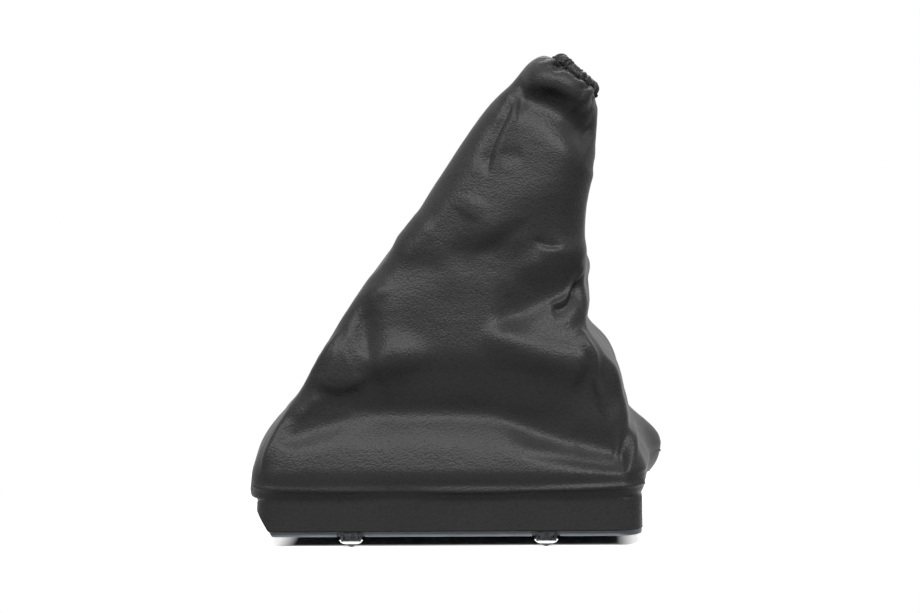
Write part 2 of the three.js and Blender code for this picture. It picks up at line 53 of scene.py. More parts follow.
FIT = 0.3
FRAME_LENGTH = 148.0
FRAME_WIDTH = 88.0
FRAME_CORNER = 8.0
TAB_DROP = 4.2
FRAME_HEIGHT = 17.3
LIP_HEIGHT = 2.0
BEVEL_RUN = 6.4
BEVEL_RISE = 9.8
LEATHER = 1.0
NECK_REACH = 50.0
NECK_HEIGHT = 182.4
NECK_TILT = math.radians(42)
ELASTIC_DIAMETER = 2.2
HEM_DEPTH = 5.0

DECK = TAB_DROP + FRAME_HEIGHT
SKIRT_FOOT = TAB_DROP + LIP_HEIGHT + FIT
SKIRT_MIDDLE = (SKIRT_FOOT + DECK) / 2
SKIRT_DROP = 3.2
SKIRT_TOP = DECK - SKIRT_DROP
SKIRT_FLARE = 0.9
END_FLARE_SHARE = 0.2
SKIRT_END = FRAME_LENGTH / 2 + FIT + LEATHER
SKIRT_SIDE = FRAME_WIDTH / 2 + FIT + LEATHER
HEM_REACH = 51.3
HEM_HEIGHT = 182.9
HEM_RADIUS = 8.3
HEM_ROLL = ELASTIC_DIAMETER / 2 + LEATHER + 0.1
HEM_SLOPE = HEM_ROLL * math.sqrt(0.5)


def origin_in_row():
    """Where the frame's middle lies in the row frame, in metres: half way between the four clips."""
    corners = [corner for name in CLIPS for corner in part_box(name)]
    middle = sum(corners, Vector()) / len(corners)
    return Vector((middle.x, middle.y, 0))


ORIGIN = origin_in_row()


def to_row(points):
    """Points in millimetres in the frame's axes, as metres in the row frame."""
    return np.asarray(points) * MM + np.array(ORIGIN)


# The cover's rings

def station(along, up):
    """A point of the middle plane: up as a share of deck to neck, along as a share of the frame's length."""
    return along * FRAME_LENGTH + up * NECK_REACH, DECK + up * (NECK_HEIGHT - DECK)


def skirt_ring(height, flare):
    end = SKIRT_END + flare * END_FLARE_SHARE
    side = SKIRT_SIDE + flare
    return [-end, height, end, height, side, side, FRAME_CORNER, 0, 0, 0, 1]


def body_ring(left, right, near, far, corner, bow_left=0, bow_right=0, bow_side=0):
    sizes = [share * FRAME_WIDTH for share in (near, far, corner, bow_left, bow_right, bow_side)]
    return [*station(*left), *station(*right), *sizes, 1]


def neck_ring(radius, height):
    """A round ring about the neck's axis."""
    reach = (radius * math.cos(NECK_TILT), radius * math.sin(NECK_TILT))
    middle = (HEM_REACH + height * math.sin(NECK_TILT), HEM_HEIGHT + height * math.cos(NECK_TILT))
    left = [middle[0] - reach[0], middle[1] + reach[1]]
    right = [middle[0] + reach[0], middle[1] - reach[1]]
    return [*left, *right, radius, radius, radius, 0, 0, 0, 0]


# Each ring: x and z of both ends, half widths, corner, three bows, and how freely it can fold
RINGS = np.array([
    skirt_ring(SKIRT_FOOT, SKIRT_FLARE),
    skirt_ring(SKIRT_MIDDLE, SKIRT_FLARE * 0.5),
    skirt_ring(SKIRT_TOP, SKIRT_FLARE * 0.3),
    body_ring((-0.522, -0.0125), (0.512, -0.0125), 0.5185, 0.52, 0.105, 0.005, 0.005),
    body_ring((-0.536, 0.003), (0.518, 0.003), 0.532, 0.545, 0.115, 0.02, 0.015),
    body_ring((-0.545, 0.021), (0.52, 0.02), 0.541, 0.554, 0.125, 0.035, 0.026),
    body_ring((-0.552, 0.042), (0.517, 0.04), 0.543, 0.558, 0.125, 0.043, 0.032),
    body_ring((-0.553, 0.062), (0.514, 0.056), 0.537, 0.56, 0.125, 0.045, 0.034),
    body_ring((-0.55, 0.103), (0.483, 0.096), 0.504, 0.54, 0.114, 0.045, 0.034),
    body_ring((-0.531, 0.152), (0.436, 0.143), 0.458, 0.505, 0.091, 0.045, 0.017),
    body_ring((-0.507, 0.186), (0.411, 0.179), 0.431, 0.466, 0.08, 0.04, 0.011),
    body_ring((-0.482, 0.22), (0.386, 0.22), 0.426, 0.439, 0.08, 0.034, 0.011, 0.011),
    body_ring((-0.463, 0.28), (0.352, 0.277), 0.431, 0.43, 0.08, 0.023, 0.011, 0.017),
    body_ring((-0.45, 0.333), (0.309, 0.329), 0.435, 0.423, 0.08, 0.017, 0.011, 0.023),
    body_ring((-0.431, 0.401), (0.243, 0.385), 0.407, 0.407, 0.091, 0.011, 0.011, 0.034),
    body_ring((-0.402, 0.475), (0.226, 0.444), 0.378, 0.38, 0.102, 0.011, 0.011, 0.04),
    body_ring((-0.361, 0.562), (0.192, 0.525), 0.345, 0.345, 0.114, 0.011, 0.011, 0.045),
    body_ring((-0.315, 0.656), (0.156, 0.618), 0.311, 0.311, 0.125, 0.011, 0.011, 0.045),
    body_ring((-0.278, 0.752), (0.133, 0.712), 0.278, 0.28, 0.136, 0.011, 0.011, 0.04),
    body_ring((-0.241, 0.848), (0.122, 0.799), 0.245, 0.245, 0.148, 0.011, 0.011, 0.028),
    body_ring((-0.203, 0.926), (0.105, 0.873), 0.216, 0.216, 0.159, 0.011, 0.011, 0.017),
    body_ring((-0.161, 0.978), (0.094, 0.909), 0.198, 0.197, 0.159, 0, 0, 0.006),
    body_ring((-0.13, 1.028), (0.083, 0.927), 0.19, 0.185, 0.156),
    body_ring((-0.098, 1.046), (0.074, 0.941), 0.168, 0.165, 0.148),
    neck_ring(HEM_RADIUS + HEM_ROLL, -HEM_ROLL * 0.9),
    neck_ring(HEM_RADIUS + HEM_ROLL, 0),
    neck_ring(HEM_RADIUS + HEM_SLOPE, HEM_SLOPE),
    neck_ring(HEM_RADIUS, HEM_ROLL),
    neck_ring(HEM_RADIUS - HEM_SLOPE, HEM_SLOPE),
    neck_ring(HEM_RADIUS - HEM_ROLL, 0),
    neck_ring(HEM_RADIUS - LEATHER * 0.8, -HEM_ROLL - FIT),
    neck_ring(HEM_RADIUS + LEATHER * 0.3, -HEM_DEPTH),
], dtype=float)
LAST_RING = len(RINGS) - 1

# Rings of the bead over the skirt, and the first one of the hem
BEAD_RINGS = (2, 3, 4)
NECK_RING = 23

# Columns of RINGS: how many give the shape, the half widths, and how freely the cover can fold
SHAPE_COLUMNS = 10
WIDTH_COLUMN = {NEAR: 4, FAR: 5}
LOOSE_COLUMN = 10


def through(values, places):
    """Rows of values read at fractional places, with a smooth curve through them."""
    last = len(values) - 1
    k = np.minimum(np.floor(places).astype(int), last - 1)
    t = (places - k)[..., None]
    a, b, c, d = (values[np.clip(k + n, 0, last)] for n in (-1, 0, 1, 2))
    return 0.5 * (2 * b + (c - a) * t + (2 * a - 5 * b + 4 * c - d) * t**2 + (3 * b - a - 3 * c + d) * t**3)


def corner_ray(a, b, radius, angle):
    """Where a ray at an angle leaves a quarter of a rounded rectangle of half sizes a and b."""
    x = a * np.abs(np.cos(angle))
    y = b * np.sin(angle)
    r = np.minimum(radius, np.minimum(a, b))
    dot = x * (a - r) + y * (b - r)
    square = x * x + y * y
    rest = (a - r) ** 2 + (b - r) ** 2 - r * r
    t = (dot + np.sqrt(np.maximum(dot * dot - square * rest, 0))) / square
    on_end = y * a <= (b - r) * x
    on_side = ~on_end & (x * b <= (a - r) * y)
    along = np.where(on_end, a, np.where(on_side, x * b / np.maximum(y, 1e-9), x * t))
    across = np.where(on_end, y * a / np.maximum(x, 1e-9), np.where(on_side, b, y * t))
    return along, across


def plain_skin(side, angles, places):
    """The cover without its folds. Angles run from the left seam, pi, to the right one, 0."""
    rings = np.moveaxis(through(RINGS[:, :SHAPE_COLUMNS], places)[:, None, :], -1, 0)
    left_x, left_z, right_x, right_z, near, far, corner, bow_left, bow_right, bow_side = rings
    width = near if side == NEAR else far
    axis_x, axis_z = right_x - left_x, right_z - left_z
    span = np.hypot(axis_x, axis_z)
    axis_x, axis_z = axis_x / span, axis_z / span
    angle = angles[None, :]
    is_left = angle > math.pi / 2
    along, across = corner_ray(span / 2, width, corner, angle)
    along_share, across_share = along / (span / 2), across / width
    bow_end = np.where(is_left, bow_left, bow_right)
    reach = along - bow_end * along_share * across_share**2
    spread = across - bow_side * across_share * along_share**2
    reach = np.where(is_left, -reach, reach)
    return np.stack([
        (left_x + right_x) / 2 + axis_x * reach,
        side * spread,
        (left_z + right_z) / 2 + axis_z * reach,
    ], axis=-1)


def outward(points, side):
    """Unit normals of a grid of points, rows upward and columns from the left seam to the right one."""
    up = np.gradient(points, axis=0)
    along = np.gradient(points, axis=1)
    normal = np.cross(along, up) if side == NEAR else np.cross(up, along)
    normal[:, [0, -1], 1] = 0
    return normal / np.maximum(np.linalg.norm(normal, axis=-1, keepdims=True), 1e-9)


# Folds

LINE_STEPS = 8


def smooth_line(points):
    """A smooth line through a few points."""
    values = np.array(points, dtype=float)
    places = np.linspace(0, len(values) - 1, LINE_STEPS * (len(values) - 1) + 1)
    return through(values, places)


def line_field(x, z, line):
    """Signed distance of each point from a line, positive on its left, and the share of the line passed."""
    best = np.full(x.shape, np.inf)
    signed = np.zeros(x.shape)
    passed = np.zeros(x.shape)
    lengths = np.hypot(*(line[1:] - line[:-1]).T)
    starts = np.concatenate([[0], np.cumsum(lengths)])
    for (ax, az), (bx, bz), start, length in zip(line[:-1], line[1:], starts, lengths):
        dx, dz = (bx - ax) / length, (bz - az) / length
        run = np.clip((x - ax) * dx + (z - az) * dz, 0, length)
        gap_x, gap_z = x - ax - dx * run, z - az - dz * run
        gap = np.hypot(gap_x, gap_z)
        closer = gap < best
        best = np.where(closer, gap, best)
        signed = np.where(closer, np.where(dx * gap_z - dz * gap_x >= 0, gap, -gap), signed)
        passed = np.where(closer, (start + run) / starts[-1], passed)
    return signed, passed


def ease(t):
    """Rises smoothly from 0 to 1 as t does."""
    t = np.clip(t, 0, 1)
    return t * t * (3 - 2 * t)


def soft_fold(x, z, path, width, rise):
    """A broad fold with straight parts and no fade."""
    signed, _ = line_field(x, z, np.array(path, dtype=float))
    return rise * np.exp(-((signed / width) ** 2))


# How many widths a fold reaches, how blunt a keen edge is and how fast it falls, and how narrow the tips get
FOLD_REACH = 3.2
KEEN_BLUNT = 0.03
KEEN_FALL = 1.5
TIP_NARROW = 0.5


def crease(x, z, path, widths, rise, sharp, tips):
    """A fold with its own width and sharpness on each side of its line: 0 is round, 1 has a keen edge."""
    line = smooth_line(path)
    reach = FOLD_REACH * max(widths)
    low, high = line.min(axis=0) - reach, line.max(axis=0) + reach
    inside = (x > low[0]) & (x < high[0]) & (z > low[1]) & (z < high[1])
    lift = np.zeros(x.shape)
    signed, passed = line_field(x[inside], z[inside], line)
    fade = ease(passed / max(tips[0], 1e-3)) * ease((1 - passed) / max(tips[1], 1e-3))
    share = np.abs(signed) / np.where(signed > 0, *widths) / (1 - TIP_NARROW + TIP_NARROW * fade)
    keen = np.sqrt(share**2 + KEEN_BLUNT) - math.sqrt(KEEN_BLUNT)
    edge = np.where(signed > 0, *sharp)
    profile = (1 - edge) * np.exp(-share**2) + edge * np.exp(-KEEN_FALL * keen)
    lift[inside] = rise * profile * fade
    return lift


WAVE_COUNT = 18
WAVE_RANGE = (0.7, 1.5)


def waves(points, wavelength, seed):
    """A smooth random field of about unit height, made of plane waves."""
    rng = np.random.default_rng(seed)
    total = np.zeros(points.shape[:-1])
    for _ in range(WAVE_COUNT):
        direction = rng.normal(size=3)
        direction /= np.linalg.norm(direction)
        stretch = 2 * math.pi / (wavelength * rng.uniform(*WAVE_RANGE))
        total += np.sin(points @ direction * stretch + rng.uniform(0, 2 * math.pi))
    return total / math.sqrt(WAVE_COUNT / 2)


def paths_of(folds):
    """Folds stated as shares, in millimetres."""
    return [([station(*point) for point in path], width * FRAME_WIDTH, rise * FRAME_WIDTH)
            for path, width, rise in folds]


# The far half's broad folds: stations of the path, width, rise
BROAD_FOLDS = paths_of([
    ([(-0.339, 0.202), (-0.226, 0.19), (0.013, 0.202), (0.24, 0.171), (0.329, 0.146)], 0.091, -0.0511),
    ([(-0.353, 0.326), (-0.177, 0.364), (-0.006, 0.339)], 0.102, 0.0273),
    ([(0.056, 0.314), (0.209, 0.301)], 0.091, 0.0227),
    ([(0.195, 0.463), (0.082, 0.438), (-0.066, 0.475), (-0.213, 0.55)], 0.068, -0.0273),
    ([(0.192, 0.513), (0.076, 0.494), (-0.06, 0.538), (-0.191, 0.606)], 0.068, 0.025),
    ([(-0.337, 0.438), (-0.233, 0.451), (-0.13, 0.426)], 0.057, 0.0159),
    ([(0.123, 0.737), (0.036, 0.693), (-0.074, 0.699), (-0.185, 0.749)], 0.068, -0.025),
    ([(0.106, 0.786), (0, 0.761), (-0.119, 0.792)], 0.068, 0.0205),
    ([(-0.127, 0.935), (-0.032, 0.935), (0.092, 0.867)], 0.057, -0.025),
])

# Puffs across a corner or an end: station, then how far off the middle plane, width and rise as shares of
# the frame's width
PUFFS = [
    ((0.507, 0.04), 0.3636, 0.15, 0.08),
    ((0.302, 0.29), 0.2955, 0.11, 0.012),
    ((-0.506, 0.177), 0.3409, 0.136, 0.0159),
    ((-0.508, 0.264), -0.0682, 0.148, -0.0091),
]

# Share of the half width over which the broad folds come in from the seams
BROAD_EASE = 0.8


def broad_relief(side, points, width):
    """How far the puffs lift the cover, and the broad folds on the far half."""
    fade = ease(np.abs(points[..., 1]) / (BROAD_EASE * width))
    lift = np.zeros(points.shape[:-1])
    for path, reach, rise in BROAD_FOLDS if side == FAR else []:
        lift += fade * soft_fold(points[..., 0], points[..., 2], path, reach, rise)
    for middle, across, reach, rise in PUFFS:
        x, z = station(*middle)
        distance = np.linalg.norm(points - np.array([x, across * FRAME_WIDTH, z]), axis=-1)
        lift += rise * FRAME_WIDTH * np.exp(-((distance / (reach * FRAME_WIDTH)) ** 2))
    return lift


# Folds by half, in millimetres: path of (x, z), (width left, width right), rise, (sharpness left and right),
# (share of the path over which it fades in, and out). A path that runs towards +X has its left side above it.
FOLDS = {
    NEAR: [
        # the deep valley over the lower bulge, and its lower arm at the left
        ([(-58, 65), (-51, 60), (-45, 56), (-39, 53), (-32, 51.5), (-20, 51), (-6, 51), (8, 50.6), (22, 49),
          (36, 46.2), (48, 42.8), (60, 39.5)],
         (13, 8), -1.8, (0.3, 0), (0.3, 0.4)),
        ([(-42, 54.5), (-30, 53), (-18, 52.6), (-4, 52.8), (12, 52.2), (26, 50), (40, 46)],
         (5, 4), -1.3, (0.4, 0.1), (0.25, 0.3)),
        ([(16, 50), (28, 47.3), (38, 44.6), (48, 41.5), (60, 38), (72, 36)],
         (7, 7), -4.4, (0.2, 0), (0.4, 0.05)),
        ([(46, 45), (53, 43), (60, 41.5), (68, 39.5)], (4.5, 4), -1.6, (0.1, 0), (0.35, 0.2)),
        ([(-68, 40), (-60, 43.5), (-53, 46.3), (-46, 48.2), (-36, 50)], (5, 5), -1.7, (0.2, 0), (0.3, 0.35)),
        ([(-63, 49), (-56, 54.5), (-50, 57), (-45, 58)], (3, 3), 0.8, (0, 0), (0.35, 0.35)),
        # the brow above the valley
        ([(-54, 66), (-47, 63.8), (-41, 63.4), (-35, 65), (-28, 69)], (9, 4), 2.8, (0, 0.3), (0.35, 0.35)),
        ([(-36, 67.5), (-28, 70), (-20, 72.3), (-12, 73.3), (-3, 74)], (9, 7), 3.2, (0, 0.2), (0.35, 0.5)),
        ([(10, 81.5), (18, 80.5), (28, 77), (40, 72.5), (50, 69), (57, 66)],
         (8, 7), 3.3, (0, 0.2), (0.3, 0.15)),
        ([(-32, 98), (-33, 90), (-32, 82), (-30, 75), (-29, 69)], (5.5, 4), -2.4, (0, 0.1), (0.35, 0.35)),
        # the tucked fold at the right, its bright patch and the pinch in it
        ([(16, 85.5), (22, 88), (28, 91), (36, 95), (46, 98.5), (55, 101)],
         (9, 6), -3.4, (0.3, 0), (0.3, 0.1)),
        ([(26, 103), (32, 107.5), (40, 111), (48, 112.5), (56, 112)], (5, 7), 1.8, (0, 0.2), (0.35, 0.15)),
        ([(40, 91.5), (45, 91.6), (49, 94.8), (52, 100), (54, 107)],
         (1.3, 3.6), -1.7, (0.4, 0.2), (0.15, 0.3)),
        ([(39, 93), (44, 94.2), (48, 97), (51.5, 102), (54, 108)], (1.6, 1), 1.1, (0.2, 0.5), (0.2, 0.3)),
        # the sharp little crease in the middle and the overhang over it
        ([(33, 118.6), (37, 116.5), (41, 115.3), (46, 115.7)], (2, 0.8), -0.8, (0.3, 0.3), (0.3, 0.35)),
        ([(35, 115.6), (38, 114.2), (42, 113.7), (46, 114.4)], (1.1, 2.5), 0.35, (0.2, 0), (0.3, 0.35)),
        ([(-4, 113.5), (8, 113.5), (20, 113.3), (32, 115.5)], (6, 8), -1.7, (0.2, 0), (0.35, 0.3)),
        ([(0, 113.5), (8, 116.5), (16, 121), (24, 127), (32, 133), (39, 139), (44, 145), (50, 152),
          (58.5, 157)],
         (12, 13), 3, (0, 0.15), (0.3, 0.2)),
        ([(8, 113), (18, 116), (26, 121), (34, 127)], (3.5, 4), -1.3, (0.1, 0), (0.35, 0.4)),
        # the light panel under the neck, with its dimple
        ([(20, 152), (26, 151), (31, 152)], (3.2, 3.2), -0.6, (0, 0), (0.3, 0.3)),
        ([(12, 136), (10, 131), (7, 126)], (5, 5), 0.8, (0, 0), (0.35, 0.35)),
        # the cap below the hem: its overhanging edge and the hollow under it
        ([(28, 177.5), (32, 178.3), (36, 178.6), (41, 178.2), (46, 176.6), (51, 173.3), (57, 168)],
         (7, 4), 3.2, (0, 0.35), (0.25, 0.2)),
        ([(24.5, 174.5), (30, 174.5), (36, 173), (40, 171.4), (44, 168.8), (48, 165.4), (52, 162.2),
          (59, 158)],
         (6, 7), -4, (0.3, 0), (0.12, 0.06)),
        ([(41, 184.5), (43.5, 184.5), (46, 186)], (1.8, 1.6), -2.2, (0.3, 0.3), (0.3, 0.3)),
        # the tuck down the left of the panel
        ([(26.5, 176), (24.3, 170), (21, 162.5), (18, 155), (16.5, 148), (16.5, 142)],
         (1.6, 4.5), -2, (0.2, 0.2), (0.2, 0.25)),
        ([(26, 179), (23.5, 174), (21, 168), (17.5, 160)], (1.5, 3), 0.8, (0.2, 0), (0.3, 0.4)),
        # faint folds at the left
        ([(-33, 103.5), (-24, 106.5), (-12, 108), (6, 108.5)], (5.5, 8), -1.3, (0, 0), (0.3, 0.4)),
        ([(-24, 114), (-16, 119), (-6, 129)], (5, 5), 0.9, (0, 0), (0.3, 0.3)),
        ([(-35, 97.5), (-28, 99), (-20, 100)], (3, 3.5), 0.7, (0, 0), (0.35, 0.4)),
        # the corner lines at both ends
        ([(-73, 27), (-71, 34), (-66.5, 44.5), (-60.5, 54), (-54, 64), (-48, 73.5), (-40, 87)],
         (2, 2.2), 1.7, (0.5, 0.5), (0.15, 0.2)),
        ([(53, 86), (52, 82.5), (53.5, 79), (57, 74), (57.6, 70), (57.6, 65), (59, 60), (60.5, 53),
          (61.5, 46)], (1.6, 2), 2, (0.5, 0.3), (0.15, 0.35)),
        ([(60.5, 80), (61.5, 73), (62.5, 65), (64.5, 56), (66, 48)], (3, 3), -0.8, (0, 0), (0.3, 0.3)),
        ([(62, 76), (66, 65), (69.5, 53), (72, 45), (73, 38), (73.4, 31)],
         (1.5, 2), 1.6, (0.5, 0.3), (0.2, 0.3)),
        # the lower bulge: the bead over the skirt and the lines above it
        ([(-76, 24), (-60, 23.3), (-30, 22.8), (0, 22.6)], (1, 1.3), 0.9, (0.4, 0.2), (0.0, 0.6)),
        ([(-24, 22.7), (10, 22.5), (44, 22.9)], (1, 1.3), 0.9, (0.3, 0.2), (0.4, 0.4)),
        ([(20, 22.6), (50, 23.3), (76, 24.4)], (1, 1.2), 1, (0.4, 0.3), (0.5, 0.0)),
        ([(-60, 25.4), (-30, 25), (10, 24.8), (52, 25.3), (70, 26)], (2, 1.2), -0.6, (0.1, 0.1), (0.4, 0.1)),
        ([(22, 37), (36, 35.6), (50, 34.2), (68, 31.5)], (1.8, 1.8), -0.6, (0.2, 0.2), (0.4, 0.15)),
        # the small wrinkles that meet at the right
        ([(50, 71), (53, 68.5), (55, 67)], (0.8, 0.8), -0.25, (0.4, 0.4), (0.3, 0.3)),
        ([(52.5, 64.5), (54.5, 67), (55.5, 70)], (0.8, 0.8), -0.25, (0.4, 0.4), (0.3, 0.3)),
    ],
    # the far half: a crease, a valley over the bulge, and the bead over the skirt
    FAR: [
        ([(50, 110), (34, 104), (20, 108)], (2, 4), -1.2, (0.7, 0.7), (0.3, 0.3)),
        ([(-40, 50), (-10, 54), (30, 50), (60, 44)], (4, 8), -1.0, (0.5, 0.5), (0.3, 0.3)),
        ([(-74, 25.4), (-40, 25), (0, 24.6), (40, 24.8), (74, 25.4)],
         (1.3, 1.4), 0.7, (0.4, 0.4), (0.0, 0.0)),
        ([(-70, 27.5), (-40, 27.6), (0, 27.4), (40, 27), (72, 27.5)],
         (2.4, 1.6), -0.6, (0.2, 0.2), (0.1, 0.05)),
    ],
}

# How far from the end seams the folds begin to come in, and over what distance
SEAM_CLEAR = 1.5
SEAM_EASE = 8


def fold_relief(side, points):
    """How far the folds of one half lift it, none at the seams."""
    x, z = points[..., 0], points[..., 2]
    fade = ease((np.abs(points[..., 1]) - SEAM_CLEAR) / SEAM_EASE)
    lift = np.zeros(x.shape)
    for fold in FOLDS[side]:
        lift += crease(x, z, *fold)
    return lift * fade


# The hem's lobes and the puckers under it: half of how many run round, depth, and reach below the hem
LOBES, LOBE_DEPTH, LOBE_REACH = 10.5, 0.9, 0.8
PUCKERS, PUCKER_DEPTH, PUCKER_REACH = 7.5, 0.9, 3.5
MEAN_LOBE = 0.4

# Waves round the hem that make the lobes uneven, by place and by size: height, waves round, start
UNEVEN_PLACE = [(0.12, 3, 1), (0.06, 7, 2)]
UNEVEN_SIZE = [(0.3, 5, 0.7), (0.2, 9, 2)]
MEAN_SIZE = 0.8


def wobble(angle, terms):
    """A sum of waves round the hem."""
    return sum(height * np.sin(count * angle + start) for height, count, start in terms)


def ruffle(points):
    """The tight uneven ruffles of the hem, and the puckers that run out of it into the cap."""
    sine, cosine = math.sin(NECK_TILT), math.cos(NECK_TILT)
    x = points[..., 0] - HEM_REACH
    z = points[..., 2] - HEM_HEIGHT
    height = x * sine + z * cosine
    angle = np.arctan2(points[..., 1], x * cosine - z * sine)
    below = np.maximum(-height - HEM_ROLL, 0)
    uneven = angle + wobble(angle, UNEVEN_PLACE) + 0.05 * np.sin(height * 1.7)
    lobes = np.abs(np.sin(LOBES * uneven)) ** 0.7 - MEAN_LOBE
    puckers = np.abs(np.sin(PUCKERS * uneven + 0.4 * np.sin(height * 1.1))) ** 0.8 - MEAN_LOBE
    size = MEAN_SIZE + wobble(angle, UNEVEN_SIZE)
    on_hem = LOBE_DEPTH * np.exp(-((below / LOBE_REACH) ** 2))
    under_hem = PUCKER_DEPTH * np.exp(-((below / PUCKER_REACH) ** 2)) * ease((HEM_ROLL - height) / HEM_ROLL)
    return size * (on_hem * lobes + under_hem * puckers)


# Unevenness of the leather: height, stretch, wavelength, seed; and where it comes in
SLACK = [
    (0.1, [1, 1, 1], 22, 5),
    (0.015, [1, 1, 1.7], 7, 8),
]
SLACK_CLEAR = 1
SLACK_START = DECK + 3
SLACK_EASE = 10


def slack(points):
    """Slow unevenness of the leather, none at the seams and the skirt."""
    beside_seam = ease((np.abs(points[..., 1]) - SLACK_CLEAR) / SLACK_EASE)
    above_skirt = ease((points[..., 2] - SLACK_START) / SLACK_EASE)
    lift = sum(height * waves(points * stretch, wavelength, seed)
               for height, stretch, wavelength, seed in SLACK)
    return beside_seam * above_skirt * lift


# The cover's mesh

# The groove along the end seams, and two extra columns for it, as shares of a column's step
SEAM_SINK = 0.45
SEAM_REACH = 0.5
SEAM_COLUMNS = (0.12, 0.36)

# Columns round half an end and along the side, how even they are, and the steps between rows
END_COLUMNS = 30
SIDE_COLUMNS = 188
EVEN_SHARE = 0.6
BODY_STEP = 0.82
FINE_STEP = 0.36


def column_angles():
    """Angles of the mesh's columns, even along the ends and closer beside the corners."""
    def spread(t):
        return EVEN_SHARE * t + (1 - EVEN_SHARE) * np.sin(math.pi / 2 * t)
    end = np.array([0, *SEAM_COLUMNS, *range(1, END_COLUMNS)]) / END_COLUMNS
    left = math.pi - np.arctan(spread(end))
    side = math.pi / 2 - np.arctan(spread(2 * np.arange(SIDE_COLUMNS) / SIDE_COLUMNS - 1))
    right = np.arctan(spread(np.array([1, *end[::-1]])))
    return np.concatenate([left, side, right])


def row_places():
    """Places of the mesh's rows, an even step apart on the surface, and closer in the bead and the hem."""
    rows = []
    for k in range(LAST_RING):
        ends = plain_skin(NEAR, np.array([math.pi, math.pi / 2, 0]), np.array([k, k + 1.0]))
        length = np.linalg.norm(ends[1] - ends[0], axis=-1).max()
        step = FINE_STEP if k >= NECK_RING or k in BEAD_RINGS else BODY_STEP
        count = max(2, 2 * round(length / step / 2))
        rows.extend(k + np.arange(count) / count)
    return np.array([*rows, LAST_RING])


def bevelled_foot(points):
    """Lifts the skirt's foot along the slanted corner of the -X end."""
    x, z = points[..., 0], points[..., 2]
    slant = TAB_DROP + (-SKIRT_END + BEVEL_RUN - x) * BEVEL_RISE / BEVEL_RUN
    foot = np.maximum(SKIRT_FOOT, slant)
    share = (z - SKIRT_FOOT) / (SKIRT_TOP - SKIRT_FOOT)
    lifted = foot + share * (SKIRT_TOP - foot)
    points[..., 2] = np.where(z < SKIRT_TOP, lifted, z)
    return points


# The height where the folds come in above the skirt, and over how much
FOLD_START = DECK - 2
FOLD_EASE = 2


def cover_layers(side):
    """Grids of the half's outer and inner surface."""
    angles, places = column_angles(), row_places()
    rings = through(RINGS, places)
    width = rings[:, WIDTH_COLUMN[side]][:, None]
    loose = np.clip(rings[:, LOOSE_COLUMN], 0, 1)[:, None]
    plain = plain_skin(side, angles, places)
    outer = plain + outward(plain, side) * (loose * broad_relief(side, plain, width))[..., None]
    above = ease((outer[..., 2] - FOLD_START) / FOLD_EASE)
    outer = outer + outward(outer, side) * (loose * above * fold_relief(side, outer))[..., None]
    outer = outer + outward(outer, side) * ruffle(outer)[..., None]
    outer = outer + outward(outer, side) * (loose * slack(outer))[..., None]
    inner = outer - LEATHER * outward(outer, side)
    groove = SEAM_SINK * np.exp(-((outer[..., 1] / SEAM_REACH) ** 2))
    outer = outer - outward(outer, side) * groove[..., None]
    for layer in (outer, inner):
        layer[:, [0, -1], 1] = 0
        layer[..., 1] = side * np.maximum(side * layer[..., 1], 0)
    return bevelled_foot(outer), bevelled_foot(inner)


def grid_faces(start, rows, columns, flip):
    """Four-sided faces of a grid whose first point has the number start."""
    i, j = np.meshgrid(np.arange(rows - 1), np.arange(columns - 1), indexing="ij")
    a = start + i * columns + j
    quads = np.stack([a, a + 1, a + columns + 1, a + columns], axis=-1).reshape(-1, 4)
    return quads[:, ::-1] if flip else quads


def rim_faces(outer, inner, flip):
    """Closes the gap between a fine edge and one with every second point, as lists of vertex numbers."""
    faces = []
    for k in range(len(inner) - 1):
        a, b, c = outer[2 * k: 2 * k + 3]
        d, e = inner[k], inner[k + 1]
        faces += [[a, d, b], [b, d, e], [b, e, c]]
    return [face[::-1] for face in faces] if flip else faces


def new_object(name, points, faces, slots=None):
    """A smooth-shaded mesh, with a material slot for each face where slots are given."""
    mesh = bpy.data.meshes.new(name)
    mesh.from_pydata([tuple(p) for p in points], [], [tuple(int(v) for v in face) for face in faces])
    if slots is not None:
        mesh.polygons.foreach_set("material_index", np.asarray(slots, dtype=np.int32))
    mesh.polygons.foreach_set("use_smooth", np.ones(len(mesh.polygons), dtype=bool))
    mesh.update()
    obj = bpy.data.objects.new(name, mesh)
    bpy.context.scene.collection.objects.link(obj)
    return obj


def cover_half(side):
    """One half of the cover as a closed sheet, with a coarser mesh inside than outside."""
    outer, inner = cover_layers(side)
    inner = inner[::2, ::2]
    rows, columns = outer.shape[:2]
    few_rows, few_columns = inner.shape[:2]
    first = rows * columns
    flip = side == FAR
    outside = grid_faces(0, rows, columns, flip)
    inside = grid_faces(first, few_rows, few_columns, not flip)
    numbers = np.arange(first).reshape(rows, columns)
    few = first + np.arange(few_rows * few_columns).reshape(few_rows, few_columns)
    rims = rim_faces(numbers[0], few[0], flip)
    rims += rim_faces(numbers[-1], few[-1], not flip)
    rims += rim_faces(numbers[:, 0], few[:, 0], not flip)
    rims += rim_faces(numbers[:, -1], few[:, -1], flip)
    points = to_row(np.concatenate([outer.reshape(-1, 3), inner.reshape(-1, 3)]))
    faces = [*outside.tolist(), *inside.tolist(), *rims]
    slots = [0] * len(outside) + [1] * (len(inside) + len(rims))
    return new_object(f"cover_{'near' if side == NEAR else 'far'}", points, faces, slots)


# Materials

